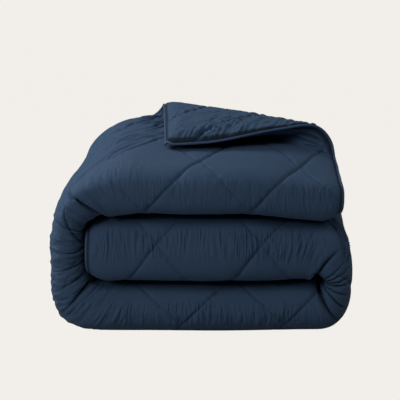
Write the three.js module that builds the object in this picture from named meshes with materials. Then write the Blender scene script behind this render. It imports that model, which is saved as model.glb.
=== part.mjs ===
// A quilted duvet, put away folded. It is folded in four lengthways, so that its plies lie back
// and forth behind one rounded front, and that long strip is then folded in three like a letter.
// One back corner of the top ply is turned over and lies on the stack.
// Millimetres, +Z up. X runs along the stack, -Y is its rounded front, and it rests on z = 0.

import * as THREE from 'three';

// Driving dimensions
const DEPTH = 560; // from the rounded front to the back edges
const PLY = 29; // loft of one ply between its seams
const PLY_GAP = 2.5; // air between two plies of the strip
const LAYER_GAP = 3; // air between two layers of the stack
const EDGE = 7; // thickness of a ply where it is sewn to its piping
const EDGE_TAPER = 45; // width over which a ply thins towards its edge
const END_DRAW = 0.1; // share by which the strip is drawn in at its two ends
const PIPING = 6; // diameter of the piping
const PIPING_GAP = 0.4; // clearance between the piping and the ply's edge
const DIAMOND = 231; // quilted diamonds, from point to point
const SEAM_DEPTH = 8; // how far a seam draws one face in
const SEAM_SHARPNESS = 2.5; // how quickly a face rises again beside its seam
const CORNER_ROUND = 4.1; // how far the duvet's four corners are rounded off
const CORNER_LEG = 446; // length of edge on each side of the corner that is turned over
const CORNER_ANGLE = 46; // direction in plan from its fold line to its tip before it is turned
const CORNER_ROLL = { back: 22, end: 31 }; // radius of that fold at the back edge and at the free end
const CORNER_DROOP = 14; // how far its tip settles towards the stack
const CORNER_LIFT = { from: 0.6, to: 0.9 }; // share of the fold line past which its edge stays up
const LOWER_Z = 111; // height between the bottom and the middle layer
const UPPER_Z = 266; // height between the middle and the top layer
const TOP_Z = 390; // height of the top layer
const LOWER_RISE_X = 120; // where the lower parting starts to rise to the right fold
const UPPER_SAG = { fromX: 60, drop: 20 }; // the upper parting falls towards the free end
const TOP_SAG = { fromX: 160, drop: 8 }; // and so does the top
const START_X = -250; // free end of the middle layer
const FINISH_X = 312; // free end of the top layer
const FINISH_LEAN = 14; // how far the top layer's end leans in at its top
const INNER_SETBACK = 14; // how far the inner front turn lies behind the outer one
const EDGE_STAGGER = 6; // how far the inner ply's edge stops short of the outer one
const LEFT_PIVOT_Z = 188; // height about which the left fold turns

// The two folds of the letter. Inner and outer radii are measured from the pivot, and the powers
// say how square the superellipse is: 2 is round.
const RIGHT_FOLD = {
  pivotX: 258, pivotZ: 120, fabric: 266, startAngle: 90, endAngle: -90,
  innerX: LAYER_GAP / 2, innerUp: LAYER_GAP / 2, innerDown: LAYER_GAP / 2, innerPower: 2,
  outerX: 83, powerUp: 3, powerDown: 2.6,
};
const LEFT_FOLD = {
  pivotX: -142, pivotZ: LEFT_PIVOT_Z, fabric: 461, startAngle: -90, endAngle: -270,
  innerX: 121, innerUp: UPPER_Z + LAYER_GAP / 2 - LEFT_PIVOT_Z,
  innerDown: LEFT_PIVOT_Z - LOWER_Z + LAYER_GAP / 2, innerPower: 5,
  outerX: 198, powerUp: 1.92, powerDown: 4.8,
};

// Lines of points. A seam crossing lies on the front of each layer at these lengths of fabric.
const CROSSING = { along: 153, across: 497 };
const STEP = DIAMOND / 6; // spacing of the lines, six to a diamond
const FINE_STEP = STEP / 2; // spacing on the top ply, where its corner turns
const RIM = 14; // distance of the first line from a free edge
const LOWER_CORNER = { fromLine: 28, toLine: 31 }; // lines between which the left fold bends most
const PIPING_SIDES = 6;

const radians = THREE.MathUtils.degToRad;
const lerp = THREE.MathUtils.lerp;
const smoothstep = THREE.MathUtils.smoothstep;

// The folded strip in section: a ply's course over y and n, where n is the height in the strip
const PITCH = PLY + PLY_GAP;
const STRIP = 4 * PLY + 3 * PLY_GAP;
const FRONT_Y = -DEPTH / 2 + STRIP / 2; // centre line of the outer front turn
const INNER_FRONT_Y = FRONT_Y + INNER_SETBACK; // centre line of the inner front turn
const EDGE_Y = DEPTH / 2 - PIPING - PIPING_GAP; // sewn edge of the outer ply
const INNER_EDGE_Y = EDGE_Y - EDGE_STAGGER; // sewn edge of the inner ply
const TURN_Y = DEPTH / 2 - PITCH / 2 - PLY / 2; // centre line of the back turn

// A flat stretch at a level counted in plies from the strip's middle. Its face looks up or down.
function flatPly(level, fromY, toY, face) {
  const way = Math.sign(toY - fromY);
  return {
    length: Math.abs(toY - fromY),
    at: (d) => ({ y: fromY + way * d, n: level * PITCH, normalY: 0, normalN: face }),
  };
}

// A half-turn from one level to another. Its face is on the outside or the inside of the turn.
function halfTurn(centreY, centreLevel, radiusLevels, startAngle, way, face) {
  const radius = radiusLevels * PITCH;
  return {
    length: Math.PI * radius,
    at: (d) => {
      const angle = radians(startAngle) + (way * d) / radius;
      return {
        y: centreY + radius * Math.cos(angle),
        n: centreLevel * PITCH + radius * Math.sin(angle),
        normalY: face * Math.cos(angle),
        normalN: face * Math.sin(angle),
      };
    },
  };
}

const COURSE = [
  flatPly(1.5, EDGE_Y, FRONT_Y, 1),
  halfTurn(FRONT_Y, 0, 1.5, 90, 1, 1),
  flatPly(-1.5, FRONT_Y, TURN_Y, -1),
  halfTurn(TURN_Y, -1, 0.5, -90, 1, 1),
  flatPly(-0.5, TURN_Y, INNER_FRONT_Y, 1),
  halfTurn(INNER_FRONT_Y, 0, 0.5, 270, -1, -1),
  flatPly(0.5, INNER_FRONT_Y, INNER_EDGE_Y, -1),
];
const WIDTH = COURSE.reduce((sum, piece) => sum + piece.length, 0);

// Where the fabric lies in the section, at a length across it counted from the outer edge.
function courseAt(across) {
  let start = 0;
  for (const piece of COURSE) {
    if (across <= start + piece.length || piece === COURSE.at(-1)) return piece.at(across - start);
    start += piece.length;
  }
}

// The stack seen from the front: ribs that cross the strip, from its inner face to its outer one
const lowerZ = (x) =>
  LOWER_Z + (RIGHT_FOLD.pivotZ - LOWER_Z) * smoothstep(x, LOWER_RISE_X, RIGHT_FOLD.pivotX);
const upperZ = (x) => UPPER_Z - UPPER_SAG.drop * smoothstep(x, UPPER_SAG.fromX, FINISH_X);
const topZ = (x) => TOP_Z - TOP_SAG.drop * smoothstep(x, TOP_SAG.fromX, FINISH_X);

// A straight layer between two heights that follow x.
function layer(name, fromX, toX, innerZ, outerZ, lean = 0) {
  return {
    name,
    fabric: Math.abs(toX - fromX),
    rib: (t) => {
      const x = lerp(fromX, toX, t);
      const shift = lean * Math.max(0, t) ** 3;
      return { innerX: x, innerZ: innerZ(x), outerX: x - shift, outerZ: outerZ(x) };
    },
  };
}

function superellipse(angle, radiusX, radiusZ, power) {
  const c = Math.abs(Math.cos(angle)) / radiusX;
  const s = Math.abs(Math.sin(angle)) / radiusZ;
  return (c ** power + s ** power) ** (-1 / power);
}

// A fold of the strip about its pivot, between the layers above and below it.
function fold(name, shape, outerUp, outerDown) {
  return {
    name,
    fabric: shape.fabric,
    rib: (t) => {
      const angle = radians(lerp(shape.startAngle, shape.endAngle, t));
      const up = Math.sin(angle) > 0;
      const inner = superellipse(angle, shape.innerX, up ? shape.innerUp : shape.innerDown, shape.innerPower);
      const outer = superellipse(
        angle, shape.outerX, up ? outerUp : outerDown, up ? shape.powerUp : shape.powerDown,
      );
      return {
        innerX: shape.pivotX + inner * Math.cos(angle),
        innerZ: shape.pivotZ + inner * Math.sin(angle),
        outerX: shape.pivotX + outer * Math.cos(angle),
        outerZ: shape.pivotZ + outer * Math.sin(angle),
      };
    },
  };
}

const half = LAYER_GAP / 2;
const floorZ = () => 0;
const LEGS = [
  layer('middle', START_X, RIGHT_FOLD.pivotX, (x) => lowerZ(x) + half, (x) => upperZ(x) - half),
  fold('right', RIGHT_FOLD, upperZ(RIGHT_FOLD.pivotX) - half - RIGHT_FOLD.pivotZ, RIGHT_FOLD.pivotZ),
  layer('bottom', RIGHT_FOLD.pivotX, LEFT_FOLD.pivotX, (x) => lowerZ(x) - half, floorZ),
  fold('left', LEFT_FOLD, TOP_Z - LEFT_FOLD.pivotZ, LEFT_FOLD.pivotZ),
  layer('top', LEFT_FOLD.pivotX, FINISH_X, (x) => upperZ(x) + half, topZ, FINISH_LEAN),
];
const LENGTH = LEGS.reduce((sum, leg) => sum + leg.fabric, 0);

// The leg that holds a length along the fabric, and the share of it that lies behind.
function legAt(along) {
  let start = 0;
  for (const leg of LEGS) {
    if (along <= start + leg.fabric || leg === LEGS.at(-1)) return { leg, t: (along - start) / leg.fabric };
    start += leg.fabric;
  }
}

// The rib at a length along the fabric. It is shorter at the two free ends.
function ribAt(along) {
  const { leg, t } = legAt(along);
  const rib = leg.rib(t);
  const fromEnd = Math.max(0, Math.min(along, LENGTH - along, EDGE_TAPER)) / EDGE_TAPER;
  const draw = (END_DRAW / 2) * (1 - fromEnd) ** 2;
  return {
    innerX: lerp(rib.innerX, rib.outerX, draw),
    innerZ: lerp(rib.innerZ, rib.outerZ, draw),
    outerX: lerp(rib.outerX, rib.innerX, draw),
    outerZ: lerp(rib.outerZ, rib.innerZ, draw),
  };
}

// The middle layer was folded a little off the fabric's centre line, so its front shows other rows.
const SLIDE = { most: 50, from: 60, fullFrom: 380, fullTo: 760, to: 1080 };
function slide(along, across) {
  const [middle, right] = LEGS;
  const share = 1 - smoothstep(along, middle.fabric, middle.fabric + right.fabric);
  const rising = smoothstep(across, SLIDE.from, SLIDE.fullFrom);
  const falling = 1 - smoothstep(across, SLIDE.fullTo, SLIDE.to);
  return across + SLIDE.most * share * rising * falling;
}

// The corner: a half-turn about a diagonal of the top ply, then flat and settling towards its tip.
// The fold is wider at the free end, where the edge stands up before it lies over.
const ACROSS_FOLD = new THREE.Vector2(1, 0).rotateAround(new THREE.Vector2(), radians(CORNER_ANGLE));
const ALONG_FOLD = new THREE.Vector2(ACROSS_FOLD.y, -ACROSS_FOLD.x);
const FOLD_MIDDLE = new THREE.Vector2(FINISH_X - FINISH_LEAN, DEPTH / 2).subScalar(CORNER_LEG / 2);
const FOLD_LENGTH = CORNER_LEG * Math.SQRT2;
const TIP = FOLD_LENGTH / 2 - Math.PI * CORNER_ROLL.back;
function turnCorner(point, height, thinned, middleZ) {
  const plan = new THREE.Vector2(point.x, point.y).sub(FOLD_MIDDLE);
  const beyond = plan.dot(ACROSS_FOLD);
  if (beyond <= 0) return point;
  const toEnd = THREE.MathUtils.clamp(plan.dot(ALONG_FOLD) / FOLD_LENGTH + 0.5, 0, 1);
  const roll = lerp(CORNER_ROLL.back, CORNER_ROLL.end, toEnd ** 2);
  const angle = Math.min(beyond / roll, Math.PI);
  const back = Math.max(0, beyond - Math.PI * roll);
  const reach = (roll - height) * Math.sin(angle) - back - beyond;
  const foot = point.x - beyond * ACROSS_FOLD.x;
  const lying = smoothstep(back, 0, EDGE_TAPER) * (1 - smoothstep(toEnd, CORNER_LIFT.from, CORNER_LIFT.to));
  const droop = CORNER_DROOP * smoothstep(back, 0, TIP) + thinned * lying;
  const z = middleZ(foot) + roll - (roll - height) * Math.cos(angle) - droop;
  return new THREE.Vector3(point.x + reach * ACROSS_FOLD.x, point.y + reach * ACROSS_FOLD.y, z);
}

// Half the ply's thickness between its seams. It is thin at the four edges.
function halfLoft(along, across) {
  const fromEdge = Math.min(along, LENGTH - along, across, WIDTH - across, EDGE_TAPER) / EDGE_TAPER;
  return lerp(EDGE / 2, PLY / 2, Math.sqrt(1 - (1 - Math.max(0, fromEdge)) ** 2));
}

// The duvet's corners are rounded: a point near one is drawn in along both edges.
function roundCorner(along, across) {
  const nearStart = along < LENGTH / 2;
  const nearEdge = across < WIDTH / 2;
  const a = Math.max(0, 1 - (nearStart ? along : LENGTH - along) / RIM);
  const b = Math.max(0, 1 - (nearEdge ? across : WIDTH - across) / RIM);
  const pull = CORNER_ROUND * a * b;
  return { along: along + (nearStart ? pull : -pull), across: across + (nearEdge ? pull : -pull) };
}

// A point of the duvet: lengths along and across the fabric, and a height above the ply's middle.
function place(fromStart, fromEdge, height) {
  const { along, across } = roundCorner(fromStart, fromEdge);
  const course = courseAt(slide(along, across));
  const rib = ribAt(along);
  const share = 0.5 + (course.n + course.normalN * height) / STRIP;
  const point = new THREE.Vector3(
    lerp(rib.innerX, rib.outerX, share),
    course.y + course.normalY * height,
    lerp(rib.innerZ, rib.outerZ, share),
  );
  if (legAt(along).leg.name !== 'top' || across > COURSE[0].length) return point;
  const middle = 0.5 + course.n / STRIP;
  const squeeze = (rib.outerZ - rib.innerZ) / STRIP;
  const thinned = squeeze * (PLY / 2 - halfLoft(along, across));
  return turnCorner(point, squeeze * height, thinned, (x) => lerp(upperZ(x) + half, topZ(x), middle));
}

// Quilting: seams run both ways across the diamonds and draw the faces in
const offSeam = (v) => 2 * Math.abs(v / 2 - Math.round(v / 2));
function seamShare(along, across) {
  const a = (2 * (along - CROSSING.along)) / DIAMOND;
  const b = (2 * (across - CROSSING.across)) / DIAMOND;
  return (1 - Math.min(offSeam(a + b), offSeam(a - b))) ** SEAM_SHARPNESS;
}

// The two diagonal creases where the front is forced round the left fold, by their line of points.
const CREASES = [
  { line: 30, depth: 16 },
  { line: 35, depth: 14 },
];
function creaseDepth(along, across) {
  const turn = (across - COURSE[0].length) / COURSE[1].length;
  if (turn < 0 || turn > 1) return 0;
  const line = (along - CROSSING.along) / STEP;
  const hit = CREASES.find((crease) => Math.abs(line - crease.line) < 0.25);
  return hit ? hit.depth * Math.sin(Math.PI * turn) : 0;
}

// The height of one face above the ply's middle: drawn in at the seams, flat on the floor.
function loft(along, across, face) {
  const full = halfLoft(along, across);
  const outerFace = face > 0 && across < COURSE[0].length + COURSE[1].length + COURSE[2].length;
  const onFloor = legAt(along).leg.name === 'bottom' && across < COURSE[0].length - STEP;
  const shownBack = face < 0 && across < COURSE[0].length;
  if (onFloor || !(outerFace || shownBack)) return full;
  const share = (full - EDGE / 2) / (PLY / 2 - EDGE / 2);
  return full - SEAM_DEPTH * seamShare(along, across) * share - creaseDepth(along, across);
}

// Lines of points along the fabric: on the seam grid, and finer on the top layer
function linesAlong() {
  const lines = [0, RIM];
  const fineFrom = LENGTH - CORNER_LEG - STEP;
  let at = CROSSING.along - Math.floor((CROSSING.along - 2 * RIM) / STEP) * STEP;
  while (at < LENGTH - 1.5 * RIM) {
    lines.push(at);
    const line = (at - CROSSING.along) / STEP;
    const bends = line > LOWER_CORNER.fromLine - 0.1 && line < LOWER_CORNER.toLine - 0.1;
    at += bends || at > fineFrom ? FINE_STEP : STEP;
  }
  return [...lines, LENGTH - RIM, LENGTH];
}

// Lines across the fabric. The outer ply and the front are on the seam grid, hidden plies are coarse.
function starts() {
  const found = [0];
  for (const piece of COURSE) found.push(found.at(-1) + piece.length);
  return found;
}
const spread = (from, to, steps) => Array.from({ length: steps }, (_, i) => lerp(from, to, (i + 1) / steps));

function outerPlyLines() {
  const lines = [];
  const fineBelow = CORNER_LEG - STEP;
  for (let at = CROSSING.across; at > 1.5 * RIM; at -= at > fineBelow ? STEP : FINE_STEP) lines.push(at);
  return [0, RIM, ...lines.reverse()];
}

function linesAcross(face) {
  const [, front, lower, turn, third, inner, last, end] = starts();
  const outer = outerPlyLines();
  if (face > 0) {
    const round = spread(CROSSING.across, CROSSING.across + 4 * STEP, 8);
    const under = spread(round.at(-1), round.at(-1) + 2 * STEP, 2);
    return [
      ...outer, ...round, ...under, ...spread(under.at(-1), turn, 1), ...spread(turn, third, 4),
      ...spread(third, inner, 1), ...spread(inner, last, 2), ...spread(last, end - 2 * RIM, 1),
      end - RIM, end,
    ];
  }
  return [
    ...outer.filter((at) => at < front), front, ...spread(front, lower, 4), ...spread(lower, turn, 1),
    ...spread(turn, third, 2), ...spread(third, inner, 1), ...spread(inner, last, 3),
    ...spread(last, end - 2 * RIM, 1), end - RIM, end,
  ];
}

// Triangles between two rows of points that run the same way but may be spaced differently.
function zip(rowA, rowB, triangle) {
  let i = 0;
  let j = 0;
  while (i < rowA.length - 1 || j < rowB.length - 1) {
    const stepA = j === rowB.length - 1 || (i < rowA.length - 1 && rowA[i + 1].across < rowB[j + 1].across);
    if (stepA) triangle(rowA[i].index, rowA[i + 1].index, rowB[j].index);
    else triangle(rowA[i].index, rowB[j + 1].index, rowB[j].index);
    if (stepA) i += 1;
    else j += 1;
  }
}

function solidGeometry(points, triangles) {
  const geometry = new THREE.BufferGeometry();
  geometry.setAttribute('position', new THREE.Float32BufferAttribute(points.flatMap((p) => p.toArray()), 3));
  geometry.setIndex(triangles.flat());
  geometry.computeVertexNormals();
  return geometry;
}

function duvetGeometry() {
  const rows = linesAlong();
  const columns = [
    ...linesAcross(1).map((across) => ({ across, face: 1 })),
    ...linesAcross(-1).reverse().map((across) => ({ across, face: -1 })),
  ];
  const points = rows.flatMap((along) =>
    columns.map(({ across, face }) => place(along, across, face * loft(along, across, face))));
  const triangles = [];
  const index = (i, j) => i * columns.length + (j % columns.length);
  const onSeam = (i, j) => seamShare(rows[i], columns[j % columns.length].across) > 0.99;
  for (let i = 0; i < rows.length - 1; i += 1) {
    for (let j = 0; j < columns.length; j += 1) {
      const [a, b, c, d] = [index(i, j), index(i + 1, j), index(i + 1, j + 1), index(i, j + 1)];
      const rising = onSeam(i, j) && onSeam(i + 1, j + 1);
      const falling = onSeam(i + 1, j) && onSeam(i, j + 1);
      const onBack = columns[j].face < 0 && j < columns.length - 1;
      if (falling || (onBack && !rising)) triangles.push([a, d, b], [b, d, c]);
      else triangles.push([a, c, b], [a, d, c]);
    }
  }
  // The two ends are closed between the ply's faces.
  const faceRow = (i, face) => columns
    .map((column, j) => ({ across: column.across, face: column.face, index: index(i, j) }))
    .filter((column) => column.face === face)
    .sort((p, q) => p.across - q.across);
  zip(faceRow(0, 1), faceRow(0, -1), (a, b, c) => triangles.push([a, c, b]));
  const lastRow = rows.length - 1;
  zip(faceRow(lastRow, 1), faceRow(lastRow, -1), (a, b, c) => triangles.push([a, b, c]));
  return solidGeometry(points, triangles);
}

// Piping: one cord round all four edges, just outside the sewn edge, mitred at the corners
function pipingStations() {
  const alongLines = linesAlong().slice(1, -1);
  const acrossLines = linesAcross(1).slice(1, -1);
  const edge = (along, across, outAlong, outAcross) => ({ along, across, outAlong, outAcross });
  return [
    edge(0, 0, -1, -1),
    ...alongLines.map((along) => edge(along, 0, 0, -1)),
    edge(LENGTH, 0, 1, -1),
    ...acrossLines.map((across) => edge(LENGTH, across, 1, 0)),
    edge(LENGTH, WIDTH, 1, 1),
    ...alongLines.toReversed().map((along) => edge(along, WIDTH, 0, 1)),
    edge(0, WIDTH, -1, 1),
    ...acrossLines.toReversed().map((across) => edge(0, across, -1, 0)),
  ];
}

function pipingGeometry() {
  const radius = PIPING / 2;
  const offset = radius + PIPING_GAP;
  const probe = 0.5;
  const stations = pipingStations();
  const points = stations.flatMap(({ along, across, outAlong, outAcross }) => {
    const at = (out, height) => place(along + out * outAlong, across + out * outAcross, height);
    const mitre = Math.hypot(outAlong, outAcross);
    const outward = at(probe, 0).sub(at(-probe, 0)).normalize();
    const upward = at(0, probe).sub(at(0, -probe)).normalize();
    const centre = at(0, 0).addScaledVector(outward, mitre * offset);
    return Array.from({ length: PIPING_SIDES }, (_, side) => {
      const angle = (2 * Math.PI * side) / PIPING_SIDES;
      return centre.clone()
        .addScaledVector(outward, mitre * radius * Math.cos(angle))
        .addScaledVector(upward, radius * Math.sin(angle));
    });
  });
  const triangles = [];
  for (let i = 0; i < stations.length; i += 1) {
    for (let side = 0; side < PIPING_SIDES; side += 1) {
      const next = ((i + 1) % stations.length) * PIPING_SIDES;
      const turn = (side + 1) % PIPING_SIDES;
      const a = i * PIPING_SIDES + side;
      const d = i * PIPING_SIDES + turn;
      triangles.push([a, next + turn, next + side], [a, d, next + turn]);
    }
  }
  return solidGeometry(points, triangles);
}

// Materials and the finished part, with its origin under the middle of its box
const cloth = new THREE.MeshStandardMaterial({ color: 0x24374f, roughness: 0.85, metalness: 0 });
const cord = new THREE.MeshStandardMaterial({ color: 0x1d2c42, roughness: 0.8, metalness: 0 });

function piece(name, geometry, material) {
  const mesh = new THREE.Mesh(geometry, material);
  mesh.name = name;
  return mesh;
}

const duvet = new THREE.Group();
duvet.add(piece('duvet', duvetGeometry(), cloth), piece('piping', pipingGeometry(), cord));
const box = new THREE.Box3().setFromObject(duvet);
const middle = box.getCenter(new THREE.Vector3());
duvet.children.forEach((mesh) => mesh.position.set(-middle.x, -middle.y, -box.min.z));

export default duvet;
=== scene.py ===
import bpy
import numpy as np
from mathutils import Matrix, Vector


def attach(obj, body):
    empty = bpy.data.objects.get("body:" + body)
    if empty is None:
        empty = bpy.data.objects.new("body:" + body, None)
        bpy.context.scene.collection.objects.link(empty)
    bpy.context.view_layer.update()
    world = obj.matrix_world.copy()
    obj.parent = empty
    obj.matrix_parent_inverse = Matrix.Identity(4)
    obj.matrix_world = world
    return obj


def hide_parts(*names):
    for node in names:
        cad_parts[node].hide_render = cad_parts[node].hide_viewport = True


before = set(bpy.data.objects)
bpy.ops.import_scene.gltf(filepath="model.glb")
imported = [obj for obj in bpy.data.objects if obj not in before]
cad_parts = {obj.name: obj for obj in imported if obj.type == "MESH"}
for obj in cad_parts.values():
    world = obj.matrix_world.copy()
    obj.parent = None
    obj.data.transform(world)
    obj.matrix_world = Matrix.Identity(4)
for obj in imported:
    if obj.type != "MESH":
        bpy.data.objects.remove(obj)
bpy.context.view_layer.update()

# The duvet
# Two cloths of brushed navy microfibre with a soft filling between them, sewn through in diamonds.
# It is folded in four lengthways, so that its plies lie back and forth behind one rounded front,
# then in three like a letter, and one back corner of its top ply is turned over.
DEPTH = 0.560
PLY, PLY_GAP, LAYER_GAP = 0.029, 0.0025, 0.003  # a ply's loft, and the air between plies and layers
EDGE, EDGE_TAPER = 0.003, 0.045  # the sewn edge's thickness, and how far from it the filling thins
PIPING, PIPING_GAP = 0.006, 0.0004
INNER_SETBACK, EDGE_STAGGER = 0.014, 0.006  # how far the inner plies' front and edge lie in
PITCH = PLY + PLY_GAP
STRIP = 4 * PLY + 3 * PLY_GAP
TOP_PLY = 0.5 + 1.5 * PITCH / STRIP  # share of the strip's height at its top ply's middle
FRONT_Y = -DEPTH / 2 + STRIP / 2
INNER_FRONT_Y = FRONT_Y + INNER_SETBACK
EDGE_Y = DEPTH / 2 - PIPING - PIPING_GAP
INNER_EDGE_Y = EDGE_Y - EDGE_STAGGER
TURN_Y = DEPTH / 2 - PITCH / 2 - PLY / 2

# The strip's section, from its outer edge inwards. A flat stretch has a level counted in plies, the
# two ends of its y and the way its face looks. A turn has its centre's y and level, its radius in
# plies, the angle it starts at, the way it goes and the way its face looks.
SECTION = (
    ("flat", 1.5, EDGE_Y, FRONT_Y, 1),
    ("turn", FRONT_Y, 0.0, 1.5, 90, 1, 1),
    ("flat", -1.5, FRONT_Y, TURN_Y, -1),
    ("turn", TURN_Y, -1.0, 0.5, -90, 1, 1),
    ("flat", -0.5, TURN_Y, INNER_FRONT_Y, 1),
    ("turn", INNER_FRONT_Y, 0.0, 0.5, 270, -1, -1),
    ("flat", 0.5, INNER_FRONT_Y, INNER_EDGE_Y, -1),
)
FRONT_TURN = 1  # which of them is the rounded front that shows
STRETCHES = [abs(s[3] - s[2]) if s[0] == "flat" else np.pi * s[3] * PITCH for s in SECTION]
SECTION_ENDS = np.cumsum([0.0] + STRETCHES)
PLY_END, FRONT_END, WIDTH = SECTION_ENDS[1], SECTION_ENDS[2], SECTION_ENDS[-1]
FRONT_WAY = FRONT_END - PLY_END

# The letter: the heights where its layers meet and where those lines rise or sag, its two ends, and
# its two folds, each with a pivot, the length of cloth that goes round it, its reach and its powers
# above and below the pivot. A power of 2 is round, and more is fuller.
LOWER_Z, UPPER_Z, TOP_Z = 0.111, 0.266, 0.390
LOWER_RISE_X = 0.120
UPPER_SAG_X, UPPER_SAG = 0.060, 0.020
TOP_SAG_X, TOP_SAG = 0.160, 0.008
START_X, FINISH_X, FINISH_LEAN = -0.250, 0.312, 0.014
END_DRAW = 0.1  # share of the strip's height by which its two ends are drawn together
RIGHT_PIVOT, LEFT_PIVOT = (0.258, 0.1155), (-0.142, 0.188)
RIGHT_FABRIC, LEFT_FABRIC = 0.266, 0.461
RIGHT_REACH, RIGHT_POWERS = 0.0812, (2.25, 2.3)
LEFT_REACH, LEFT_POWERS = 0.1945, (1.92, 4.55)
LEFT_HOLLOW, LEFT_HOLLOW_POWER = 0.118, 5  # reach and power of the left fold's inside
MITRE_POWER = 4.0  # power of the left fold's middle course above its pivot, where it is mitred
MIDDLE = RIGHT_PIVOT[0] - START_X
BOTTOM = RIGHT_PIVOT[0] - LEFT_PIVOT[0]
TOP = FINISH_X - LEFT_PIVOT[0]
LEG_ENDS = np.cumsum([0.0, MIDDLE, RIGHT_FABRIC, BOTTOM, LEFT_FABRIC, TOP])
RIGHT_IN, RIGHT_OUT, LEFT_IN, LEFT_OUT, LENGTH = LEG_ENDS[1:]
MIDDLE_LEG, RIGHT_LEG, BOTTOM_LEG, LEFT_LEG, TOP_LEG = range(5)


def lerp(a, b, t):
    return a + (b - a) * t


def ease(x, low, high):
    t = np.clip((x - low) / (high - low), 0, 1)
    return t * t * (3 - 2 * t)


def within(x, rise, fall):
    """1 between an eased rise and an eased fall, each given by where it starts and ends."""
    return ease(x, *rise) * (1 - ease(x, *fall))


def bell(x, width):
    return np.exp(-(x / width) ** 2)


def swell(x, size, place, width):
    return size * bell(x - place, width)


def lower_z(x):
    return LOWER_Z + (RIGHT_PIVOT[1] - LOWER_Z) * ease(x, LOWER_RISE_X, RIGHT_PIVOT[0])


def upper_z(x):
    return UPPER_Z - UPPER_SAG * ease(x, UPPER_SAG_X, FINISH_X)


def top_z(x):
    return TOP_Z - TOP_SAG * ease(x, TOP_SAG_X, FINISH_X)


def oval(angle, radius_x, radius_z, power):
    across, up = np.abs(np.cos(angle)) / radius_x, np.abs(np.sin(angle)) / radius_z
    return (across ** power + up ** power) ** (-1 / power)


def upside_down(along):
    """How far the strip is turned over: not in its middle and top layers, wholly in its bottom one."""
    return within(along, (RIGHT_IN, RIGHT_OUT), (LEFT_IN, LEFT_OUT))


FRONT_FULLNESS = (1.65, 2.8)  # powers of each layer's front above and below
FLOOR_FULLNESS, TOP_FULLNESS = 2.3, (2.15, 2.6)  # and of the bottom one's at the floor and the top one's


def front_fullness(along, angle):
    over = upside_down(along)
    on_top = ease(along, LEFT_IN, LEFT_OUT)
    outer, inner = (lerp(a, b, on_top) for a, b in zip(FRONT_FULLNESS, TOP_FULLNESS))
    outer, inner = lerp(outer, FLOOR_FULLNESS, over), lerp(inner, FRONT_FULLNESS[0], over)
    return np.where(np.sin(angle) > 0, outer, inner)


def section_at(along, across, height):
    """Depth and level in the folded strip of a point at a height above the ply's middle."""
    y, level = np.zeros_like(across), np.zeros_like(across)
    which = np.clip(np.searchsorted(SECTION_ENDS, across, side="left") - 1, 0, len(SECTION) - 1)
    for i, stretch in enumerate(SECTION):
        here = which == i
        d, h = across[here] - SECTION_ENDS[i], height[here]
        if stretch[0] == "flat":
            _, ply, from_y, to_y, face = stretch
            y[here] = from_y + np.sign(to_y - from_y) * d
            level[here] = ply * PITCH + face * h
        else:
            _, centre, ply, radius, start, way, face = stretch
            angle = np.radians(start) + way * d / (radius * PITCH)
            reach = radius * PITCH + face * h
            if i == FRONT_TURN:
                reach = reach * oval(angle, 1, 1, front_fullness(along[here], angle))
            y[here] = centre + reach * np.cos(angle)
            level[here] = ply * PITCH + reach * np.sin(angle)
    return y, level


def fold_rib(t, pivot, angles, inner, inner_power, outer, powers):
    """Inner and outer points of a rib that turns about a pivot. Radii are across, up and down."""
    angle = np.radians(lerp(angles[0], angles[1], t))
    up = np.sin(angle) > 0
    near = oval(angle, inner[0], np.where(up, inner[1], inner[2]), inner_power)
    far = oval(angle, outer[0], np.where(up, outer[1], outer[2]), np.where(up, powers[0], powers[1]))
    c, s = np.cos(angle), np.sin(angle)
    return pivot[0] + near * c, pivot[1] + near * s, pivot[0] + far * c, pivot[1] + far * s


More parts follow.
